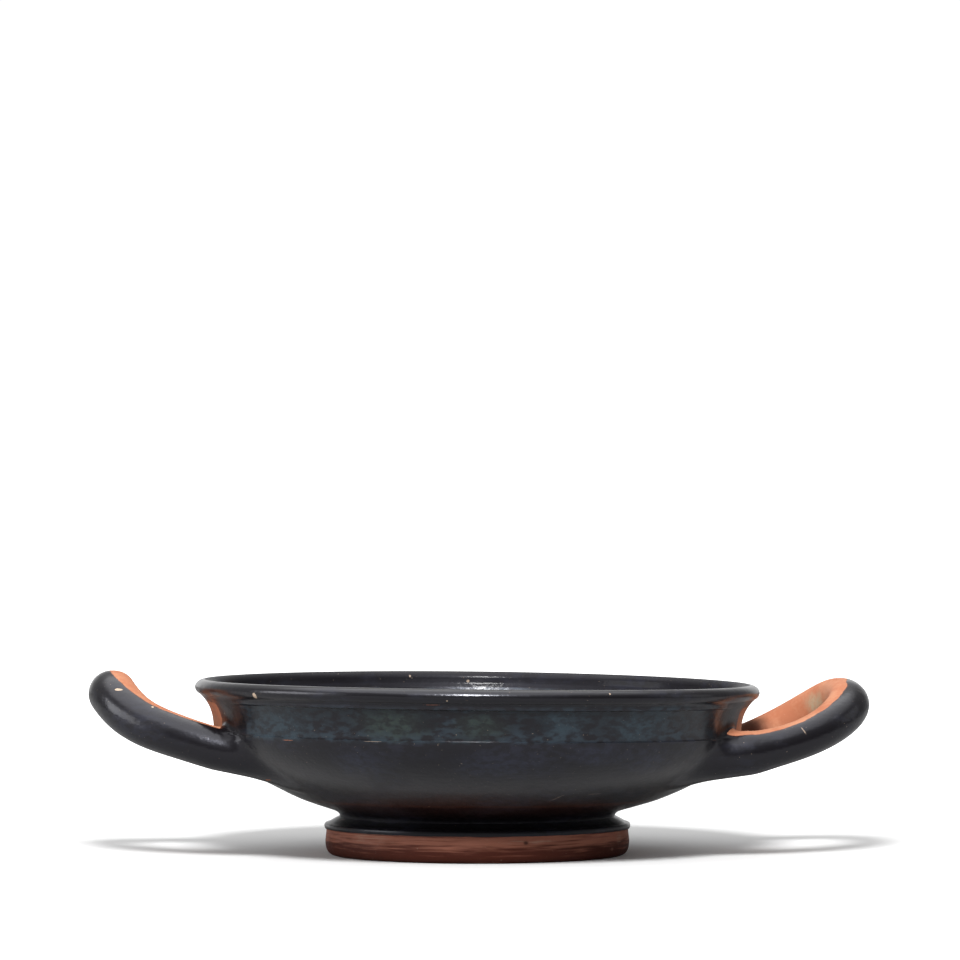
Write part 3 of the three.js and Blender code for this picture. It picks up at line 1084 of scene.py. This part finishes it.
    def reserve_distance(self, places: np.ndarray) -> np.ndarray:
        """How far each place lies inside bare clay, in millimetres, and negative under the slip.

        Args:
            places: Places in millimetres, before the lean.

        Returns:
            One signed distance for each place.
        """
        bowl, plan = self.bowl, self.plan
        x, y, z = places.T
        radius = np.hypot(x, y)
        under = (radius < bowl.rest_inner + 0.3) & (z < bowl.hollow_depth + 0.8)
        rings = np.minimum(np.abs(radius - plan.ring[0]) - plan.ring[1], radius - plan.dot)
        rings = np.minimum(rings, bowl.hollow_radius - plan.ring_edge - radius)
        best = np.where(under, rings, plan.foot_slip_height - z)
        from_bowl, _ = self.bowl_field(places)
        for index, handle in enumerate(self.handles):
            side = (x * handle.side.value > self.joint.from_x) & (z > bowl.spread[1])
            spots = places[side]
            angle = np.degrees(np.arctan2(spots[:, 1], spots[:, 0] * handle.side.value))
            wide = (plan.panel_half_angle - np.abs(angle)) * math.radians(1) * radius[side]
            panel = np.minimum(wide, (plan.panel_heights[1] - spots[:, 2]) * 1.5)
            panel = np.where(panel < 0, panel * plan.panel_fade, panel)
            panel = np.minimum(panel, (spots[:, 2] - plan.panel_heights[0]) * 2)
            panel = np.where(from_bowl[side] > -1.5, panel, -9.0)
            from_rod, _, where = self.rod_field(spots, index)
            rod = self.rod_reserve(spots, index, where)
            best[side] = np.where(from_rod < from_bowl[side], rod, panel)
        return best

    def rod_reserve(self, places: np.ndarray, index: int, where: np.ndarray) -> np.ndarray:
        """The signed distance into bare clay on one handle, which is left bare on its inner half.

        Args:
            places: Places in millimetres, before the lean.
            index: The handle's number.
            where: The place along the centre line, in steps.

        Returns:
            One signed distance for each place.
        """
        handle, line, radii = self.handles[index], self.lines[index], self.radii[index]
        inward, above = handle.section_axes(line, self.bowl)
        steps = np.arange(len(line))
        centre, inward, above = (
            np.stack([np.interp(where, steps, column) for column in values.T], 1)
            for values in (line, inward, above)
        )
        offset = places - centre
        angle = np.degrees(np.arctan2((offset * above).sum(1), (offset * inward).sum(1)))
        share = np.clip((np.abs(centre[:, 0]) - self.bowl.offset[0]) / handle.reach, 0, 1) ** 2
        root, tip = handle.gloss_past_crest
        past = root + (tip - root) * share
        far = np.clip((centre[:, 1] + 1) / 10, 0, 1)
        past = past * (1 - far) + handle.far_past_crest * far
        room = np.where(angle >= 0, 90 + past - angle, self.plan.below_degrees + angle)
        distance = room * math.radians(1) * np.interp(where, steps, radii)
        return np.minimum(distance, np.abs(places[:, 0]) - handle.slip_from_x)

    def outside(self, places: np.ndarray) -> np.ndarray:
        """One for each place on the outside of the cup, and minus one in the bowl and on the inner lip."""
        bowl = self.bowl
        from_bowl, _ = self.bowl_field(places)
        across = np.hypot(places[:, 0], places[:, 1])
        hollow = (places[:, 2] > bowl.neck[1]) & (across < bowl.rim_radius - 2)
        lip = (places[:, 2] > bowl.rim_top - bowl.rim_thickness) & (across < bowl.rim_radius - 2.9)
        return np.where((hollow & (from_bowl < -1.0)) | lip, -1.0, 1.0)

    def build(self) -> bpy.types.Object:
        """Builds the whole cup as one closed mesh at rest on its foot.

        Returns:
            The finished piece.
        """
        cup = self.turned("kylix", self.bowl.outline(), self.segments)
        core = self.turned("wall_core", self.bowl.core(), self.segments // 2)
        for handle, line, radius in zip(self.handles, self.lines, self.radii):
            rod = self.rod(f"handle_{handle.side.name.lower()}", line, radius, handle.buried)
            self.square_inside(rod, handle, line, radius)
            self.combine(rod, core, "DIFFERENCE")
            self.combine(cup, rod, "UNION")
            bpy.data.objects.remove(rod)
        bpy.data.objects.remove(core)
        self.smooth_panels(cup)
        self.soften_joints(cup)
        places = positions(cup.data)
        for name, values in (("reserve", self.reserve_distance(places)), ("outside", self.outside(places))):
            attribute = cup.data.attributes.new(name, "FLOAT", "POINT")
            attribute.data.foreach_set("value", values.astype(np.float32))
        move_to(cup.data, self.bowl.lean(places))
        select_only(cup)
        bpy.ops.object.shade_smooth_by_angle(angle=math.radians(38))
        log.info("%s: %d vertices, %d faces", cup.name, len(cup.data.vertices), len(cup.data.polygons))
        return cup


class SlipMaterial:
    """Black gloss over orange clay, with everything that time has done to it, and some painted shade and
    highlight on the bare clay.
    """

    def __init__(self, gloss: GlossFinish, clay: ClayFinish, marks: Spots) -> None:
        """Keeps the finishes and the spots of each kind, and starts the material."""
        self.gloss = gloss
        self.clay = clay
        self.marks = marks
        self.pattern = Pattern()
        self.contrast = Contrast()
        self.zones = Zones()
        self.cover = Cover()
        self.material = bpy.data.materials.new("black_gloss_slip_on_fired_clay")
        self.material.use_nodes = True
        self.tree = self.material.node_tree
        self.tree.nodes.clear()
        # Object coordinates in millimetres, so that every scale below is a real size
        coordinates = add_node(self.tree, "ShaderNodeTexCoord")
        scale = {"Vector": coordinates.outputs["Object"], "Scale": (1 / MM,) * 3}
        self.place = add_node(self.tree, "ShaderNodeMapping", scale).outputs[0]
        x, y, z = add_node(self.tree, "ShaderNodeSeparateXYZ", {0: self.place}).outputs
        flat = add_node(self.tree, "ShaderNodeCombineXYZ", {0: x, 1: y}).outputs[0]
        length = add_node(self.tree, "ShaderNodeVectorMath", {0: flat}, operation="LENGTH")
        self.height = Field(z)
        self.radius = Field(length.outputs["Value"])
        sides = {0: abs(Field(y)), 1: abs(Field(x))}
        angle = Field(add_node(self.tree, "ShaderNodeMath", sides, operation="ARCTAN2").outputs[0])
        self.turned_slip = angle.fade(*(math.radians(degrees) for degrees in self.zones.panel_degrees))
        side = add_node(self.tree, "ShaderNodeAttribute", attribute_name="outside")
        self.side = Field(side.outputs["Fac"])

    def lumps(self, lumps: Lumps) -> Field:
        """A soft pattern that varies about a half."""
        level, upright = (1 / (lumps.size * stretch) for stretch in lumps.stretch)
        squeeze = (level, level, upright)
        coordinates = add_node(self.tree, "ShaderNodeMapping", {"Vector": self.place, "Scale": squeeze})
        inputs = {"Vector": coordinates.outputs[0], "Scale": 1.0, "Detail": lumps.detail}
        return Field(add_node(self.tree, "ShaderNodeTexNoise", inputs).outputs[0])

    def spots(self, kind: Mark, *more: Mark) -> Field:
        """A mask of ragged spots.

        Args:
            kind: The kind of spot, which also says how ragged and soft the edges are.
            more: Further kinds that are drawn with it.

        Returns:
            One where a spot is.
        """
        ragged, soft = EDGES[kind]
        marks = [spot for each in (kind, *more) for spot in self.marks[each]]
        size = max(SMALLEST_RAGGED, sum(min(half) for _, _, half in marks) / len(marks))
        shift = (self.lumps(Lumps(size, 4.0)) - 0.5) * (ragged * 2)
        found = []
        for middle, turn, half in marks:
            inputs = {"Vector": self.place, "Location": middle, "Rotation": turn, "Scale": half}
            local = add_node(self.tree, "ShaderNodeMapping", inputs, vector_type="TEXTURE").outputs[0]
            reach = add_node(self.tree, "ShaderNodeVectorMath", {0: local}, operation="LENGTH")
            found.append((Field(reach.outputs["Value"]) + shift).fade(1 + soft, 1 - soft))
        return reduce(Field.either, found)

    def slip_colour(self, edge: Field) -> tuple[Field, Field, Field]:
        """The black gloss with its bloom and its thin brown places.

        Args:
            edge: The signed distance to the edge of the slip.

        Returns:
            Its colour, the mask of its patches and the colour of its sheen.
        """
        gloss, zones, cover = self.gloss, self.zones, self.cover
        pattern, contrast = self.pattern, self.contrast
        patches = self.lumps(pattern.patch).fade(*contrast.patch)
        mottle = self.lumps(pattern.mottle).fade(*contrast.mottle)
        outer = self.side.fade(*zones.outer_side)
        on_wall = self.height.fade(*zones.wall_low) * self.height.fade(*zones.wall_high)
        on_wall = on_wall * self.turned_slip * outer
        bloom = on_wall * (patches * cover.patchy_bloom + cover.even_bloom) * mottle
        colour = (patches * mottle).mix(gloss.body, gloss.violet)
        colour = bloom.mix(colour, gloss.blue)
        sheen = bloom.mix(gloss.sheen, gloss.blue_sheen)
        tints = (
            (Mark.BLUE, gloss.blue, gloss.blue_sheen),
            (Mark.GREEN, gloss.green, gloss.green_sheen),
            (Mark.VIOLET, gloss.violet_light, gloss.violet_sheen),
        )
        breakup = mottle * cover.mottled_tint + cover.even_tint
        breakup = breakup * self.lumps(pattern.grain).fade(*contrast.grain)
        for kind, tint, shine in tints:
            share = self.spots(kind) * breakup
            if kind is not Mark.VIOLET:
                share = share * on_wall
            colour = share.mix(colour, tint)
            sheen = share.mix(sheen, shine)
        colour = (self.spots(Mark.DARK) * cover.dark).mix(colour, gloss.body)
        # the slip ran thin over the neck, where it fired brown under one fine line
        level = self.height + (self.lumps(pattern.thin_edge) - 0.5) * zones.thin_wander
        line = level.fade(*zones.line_low) * level.fade(*zones.line_high)
        below = level.fade(*zones.thin_low) * level.fade(*zones.thin_high, 0.0, cover.below_line)
        colour = (line.either(below) * outer * cover.thin_brown).mix(colour, gloss.thin_brown)
        thin = edge.fade(*contrast.thin_rim) * self.height.fade(*zones.above_neck)
        return (thin * cover.thin_edge).mix(colour, gloss.edge_brown), patches, sheen

    def clay_colour(self) -> Field:
        """The bare clay: orange inside the handles, darker and streaked round the foot, with a painted
        sheen lightening the foot's upper part.
        """
        clay, zones, cover = self.clay, self.zones, self.cover
        pattern, contrast = self.pattern, self.contrast
        tone = self.lumps(pattern.clay_cloud) + self.lumps(pattern.clay_grain) * cover.clay_grain
        colour = tone.fade(*contrast.clay).mix(clay.body, clay.light)
        streak = (self.lumps(pattern.foot_streak) - 0.5) * cover.foot_streak
        # painted sheen: the foot turns lighter and pinker up its side, broken by the streaks
        sheen_and_streaks = self.height.fade(*zones.foot_sheen_heights) * cover.foot_sheen_rise + streak
        foot = sheen_and_streaks.fade(*contrast.foot).mix(clay.foot, clay.foot_clay_and_sheen)
        return self.height.fade(*zones.foot_clay).mix(colour, foot)

    def relief(self, matt: Field) -> Socket:
        """The fine lines, dimples and grit of the surface, as a bent normal."""
        pattern, relief = self.pattern, Relief()
        height = self.lumps(pattern.wheel_line) * relief.wheel_line
        height = height + self.lumps(pattern.dimple) * relief.dimple
        height = height + self.lumps(pattern.grit) * (matt * relief.bare_grit + relief.grit)
        height = height + self.lumps(pattern.wave) * relief.wave
        inputs = {"Height": height, "Strength": 1.0, "Distance": MM}
        return add_node(self.tree, "ShaderNodeBump", inputs).outputs[0]

    def build(self) -> bpy.types.Material:
        """Builds the whole material.

        Returns:
            The material.
        """
        tree, gloss, clay, zones = self.tree, self.gloss, self.clay, self.zones
        pattern, contrast, cover = self.pattern, self.contrast, self.cover
        reserve = Field(add_node(tree, "ShaderNodeAttribute", attribute_name="reserve").outputs["Fac"])
        # the brush wandered more on the handles than round the foot
        wobble = self.height.fade(*zones.above_neck, *contrast.wobble)
        edge = reserve + (self.lumps(pattern.brush_wobble) - 0.5) * wobble
        bare = edge.fade(*contrast.bare)
        slip, patches, sheen = self.slip_colour(edge)

        chips = self.spots(Mark.CHIP)
        wear = self.spots(Mark.WEAR) * cover.wear
        deposit = self.spots(Mark.DEPOSIT) * self.lumps(pattern.crumb).fade(*contrast.crumb)
        layers = (
            (self.lumps(pattern.speck).fade(*contrast.speck) * cover.specks, clay.chip),
            # dust, and the painted highlight streaks round the upper foot
            (self.spots(Mark.DUST_AND_HIGHLIGHT) * self.lumps(pattern.smear).fade(*contrast.smear), clay.dust_and_highlight),
            # stains, with painted shade at the root of the right handle's far arm
            (self.spots(Mark.STAIN_AND_SHADE) * cover.stain_and_shade, clay.stain_and_shade),
            (deposit, clay.deposit),
            (wear, clay.body),
            (self.spots(Mark.FLECK, Mark.SCRATCH) * cover.flecks, clay.chip),
            (chips, clay.chip),
        )
        colour = bare.mix(slip, self.clay_colour())
        for share, tint in layers:
            colour = share.mix(colour, tint)

        matt = bare.either(chips).either(wear).either(deposit)
        within = self.radius.fade(*zones.inside_radius) * self.side.fade(*reversed(zones.outer_side))
        # the wall between the handle arms was brushed by hand, and is duller than the rest
        brushed = self.turned_slip.fade(1.0, 0.0) * self.radius.fade(*zones.brushed_radius)
        brushed = brushed * self.height.fade(*zones.brushed_low) * self.height.fade(*zones.brushed_high)
        brushed = brushed.either(self.height.fade(*zones.foot_dull, 0.0, cover.foot_dull))
        shine = brushed.fade(0.0, 1.0, 1.0, gloss.brushed_share)
        specular = within.fade(0.0, 1.0, gloss.specular, gloss.inside_specular) * shine
        rough = patches.fade(0.0, 1.0, gloss.roughness, gloss.matt_roughness)
        rough = rough + within * gloss.inside_rougher + matt * (clay.roughness - gloss.roughness)
        glossy = (1 - matt) * shine * within.fade(0.0, 1.0, 1.0, gloss.inside_coat)
        normal = self.relief(matt)
        # sintered slip shows as near black under a soft, slightly uneven mirror, and bare clay as matt
        inputs = {
            "Base Color": colour,
            "Roughness": rough,
            "Normal": normal,
            "IOR": gloss.ior,
            "Specular Tint": sheen,
            "Specular IOR Level": matt.fade(0.0, 1.0, specular, clay.specular),
            "Coat Weight": glossy * gloss.coat,
            "Coat Roughness": gloss.coat_roughness,
            "Coat Normal": normal,
        }
        surface = add_node(tree, "ShaderNodeBsdfPrincipled", inputs).outputs[0]
        add_node(tree, "ShaderNodeOutputMaterial", {"Surface": surface})
        return self.material


class MarkFinder:
    """Finds where each blemish lies on the finished cup."""

    def __init__(self, piece: bpy.types.Object, view: CameraView) -> None:
        """Prepares the cup's surface for lines of sight."""
        graph = bpy.context.evaluated_depsgraph_get()
        self.surface = BVHTree.FromObject(piece, graph)
        self.view = view

    def hit(self, pixel: Point) -> tuple[Vector, Vector]:
        """The place and normal that one pixel of the photograph sees, in metres."""
        start, aim = self.view.ray(pixel)
        place, normal, _, _ = self.surface.ray_cast(start, aim)
        if place is None:
            raise ValueError(f"no part of the cup lies under the pixel {pixel}")
        return place, normal

    def marks(self) -> Spots:
        """The middle, turn and half sizes in millimetres of every blemish, by kind."""
        found: Spots = {kind: [] for kind in Mark}
        for blemish in BLEMISHES:
            place, normal = self.hit(blemish.pixel)
            along = Vector((0, 0, 1)).cross(normal)
            wide, tall = blemish.size
            middle = place
            if blemish.to_pixel:
                far, _ = self.hit(blemish.to_pixel)
                along, middle = far - place, (far + place) / 2
                wide = along.length / MM / 2
            sideways = normal.cross(along).normalized()
            turn = Matrix((along.normalized(), sideways, normal)).transposed().to_euler()
            deep = min(wide, tall) + 0.2
            found[blemish.mark].append((middle / MM, turn, Vector((wide, tall, deep))))
        return found


@dataclass(frozen=True)
class RoomLight:
    """The room's glow by direction. Each fade has its start, its end and its two strengths."""

    overhead: Fade = (0.1, 0.9, 0.2, 0.7)
    behind: Fade = (0.2, 0.8, 0.0, 1.2)
    behind_low: Point = (0.5, 0.1)
    behind_wide: Fade = (0.3, 0.6, 1.0, 0.2)
    panel: Fade = (0.66, 0.82, 0.0, 2.2)
    dim_aside: Fade = (0.05, 0.6, 0.8, 0.4)
    matt_gain: float = 1.14
    backdrop: float = 1.05
    white: str = "ffffff"


@dataclass(frozen=True)
class TableTop:
    """Matt white card, which gives the eye an even white with soft shadows and no mirror."""

    seen: str = "f1f1f1"
    bounced: str = "a2a2a2"
    glow: str = "ffffff"
    glow_from: Point = (0.17, 0.6)
    roughness: float = 0.9
    size: float = 60.0
    behind: float = 29.0


class Studio:
    """A white table in a plain soft studio, with the photograph's camera."""

    def __init__(self, view: CameraView) -> None:
        """Keeps the viewpoint."""
        self.view = view
        self.room = RoomLight()
        self.table = TableTop()

    def floor(self) -> bpy.types.Object:
        """Lays the wide white table."""
        table = self.table
        bpy.ops.object.select_all(action="DESELECT")
        bpy.ops.mesh.primitive_plane_add(size=table.size, location=(0, table.behind, 0))
        floor = bpy.context.active_object
        floor.name = "white_table"
        material = bpy.data.materials.new("matt_white_card")
        material.use_nodes = True
        tree = material.node_tree
        tree.nodes.clear()
        # the camera sees the table whiter than the cup does, and lit by a lamp of its own further off
        seen = Field(add_node(tree, "ShaderNodeLightPath").outputs["Is Camera Ray"])
        place = add_node(tree, "ShaderNodeTexCoord").outputs["Object"]
        spans = {0: place, 1: (0, -table.behind, 0)}
        reach = Field(add_node(tree, "ShaderNodeVectorMath", spans, operation="DISTANCE").outputs["Value"])
        inputs = {
            "Base Color": seen.mix(table.bounced, table.seen),
            "Roughness": table.roughness,
            "Specular IOR Level": 0.0,
            "Emission Color": linear(table.glow),
            "Emission Strength": reach.fade(*table.glow_from) * seen,
        }
        surface = add_node(tree, "ShaderNodeBsdfPrincipled", inputs).outputs[0]
        add_node(tree, "ShaderNodeOutputMaterial", {"Surface": surface})
        floor.data.materials.append(material)
        return floor

    def sky(self) -> None:
        """Surrounds the table with soft light, brightest overhead and white behind."""
        room = self.room
        world = bpy.data.worlds.new("soft_room")
        world.use_nodes = True
        tree = world.node_tree
        tree.nodes.clear()
        direction = add_node(tree, "ShaderNodeTexCoord").outputs["Generated"]
        split = add_node(tree, "ShaderNodeSeparateXYZ", {0: direction})
        aside, depth, height = (Field(socket) for socket in split.outputs)
        behind = depth.fade(*room.behind) * height.fade(*room.behind_low)
        glow = height.fade(*room.overhead) + behind * abs(aside).fade(*room.behind_wide)
        # only the gloss shows the panel overhead, as soft streaks, and a room darker to the right
        mirrored = (glow + height.fade(*room.panel)) * aside.fade(*room.dim_aside)
        path = add_node(tree, "ShaderNodeLightPath").outputs
        share = {0: path["Is Glossy Ray"], 2: glow * room.matt_gain, 3: mirrored}
        glow = add_node(tree, "ShaderNodeMix", share, data_type="FLOAT").outputs[0]
        share = {0: path["Is Camera Ray"], 2: glow, 3: room.backdrop}
        light = add_node(tree, "ShaderNodeMix", share, data_type="FLOAT").outputs[0]
        back = add_node(tree, "ShaderNodeBackground", {"Color": linear(room.white), "Strength": light})
        add_node(tree, "ShaderNodeOutputWorld", {"Surface": back.outputs[0]})
        bpy.context.scene.world = world

    def softbox(
        self, name: str, azimuth: float, elevation: float, distance: float, size: Point, power: float
    ) -> None:
        """Hangs one softbox that faces the cup.

        Args:
            name: The light's name.
            azimuth: Degrees round from the camera, to its right if positive.
            elevation: Degrees over the table.
            distance: Metres from the cup.
            size: Width and height in metres.
            power: Watts.
        """
        angle = math.radians(azimuth - 90 - self.view.yaw_degrees)
        rise = math.radians(elevation)
        aim = Vector((math.cos(angle) * math.cos(rise), math.sin(angle) * math.cos(rise), math.sin(rise)))
        bpy.ops.object.light_add(type="AREA", location=aim * distance)
        light = bpy.context.active_object
        light.name = name
        light.rotation_euler = aim.to_track_quat("Z", "Y").to_euler()
        light.data.shape = "RECTANGLE"
        light.data.size, light.data.size_y = size
        light.data.energy = power

    def key(self, place: tuple[float, float, float], radius: float, strength: float) -> None:
        """Adds the main soft light, whose strength doesn't fall off over the table.

        Args:
            place: Its place in metres, seen from the camera's side.
            radius: Its radius in metres.
            strength: Its strength.
        """
        where = Matrix.Rotation(math.radians(-self.view.yaw_degrees), 3, "Z") @ Vector(place)
        bpy.ops.object.light_add(type="POINT", location=where)
        light = bpy.context.active_object
        light.name = "key_light"
        light.data.shadow_soft_size = radius
        light.data.energy = 1.0
        light.data.use_nodes = True
        tree = light.data.node_tree
        falloff = add_node(tree, "ShaderNodeLightFalloff", {"Strength": strength}).outputs["Constant"]
        tree.links.new(falloff, tree.nodes["Emission"].inputs["Strength"])

    def camera(self) -> None:
        """Sets up the photograph's camera."""
        bpy.ops.object.camera_add()
        camera = bpy.context.active_object
        camera.matrix_world = self.view.place()
        camera.data.sensor_width = SENSOR_MM
        camera.data.lens = self.view.focal_pixels * SENSOR_MM / IMAGE_SIZE
        camera.data.clip_end = 200.0
        bpy.context.scene.camera = camera

    def build(self) -> None:
        """Sets up everything around the cup."""
        self.floor()
        self.sky()
        self.key(place=(-0.03, -0.7, 0.6), radius=0.11, strength=48.0)
        self.softbox("left_panel", azimuth=-78, elevation=16, distance=0.9, size=(0.5, 0.35), power=2.2)
        self.softbox("right_panel", azimuth=95, elevation=20, distance=0.9, size=(0.4, 0.35), power=0.2)
        self.camera()
        bpy.context.scene.view_settings.view_transform = "Standard"


def main() -> None:
    """Builds the cup, dresses it and sets up the studio."""
    logging.basicConfig(level=logging.INFO, format="%(message)s")
    view = CameraView()
    piece = Kylix(BowlSizes(), [RIGHT_HANDLE, LEFT_HANDLE], view).build()
    marks = MarkFinder(piece, view).marks()
    piece.data.materials.clear()
    piece.data.materials.append(SlipMaterial(GlossFinish(), ClayFinish(), marks).build())
    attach(piece, "root")
    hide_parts("kylix_cup")
    Studio(view).build()


if __name__ == "__main__":
    main()
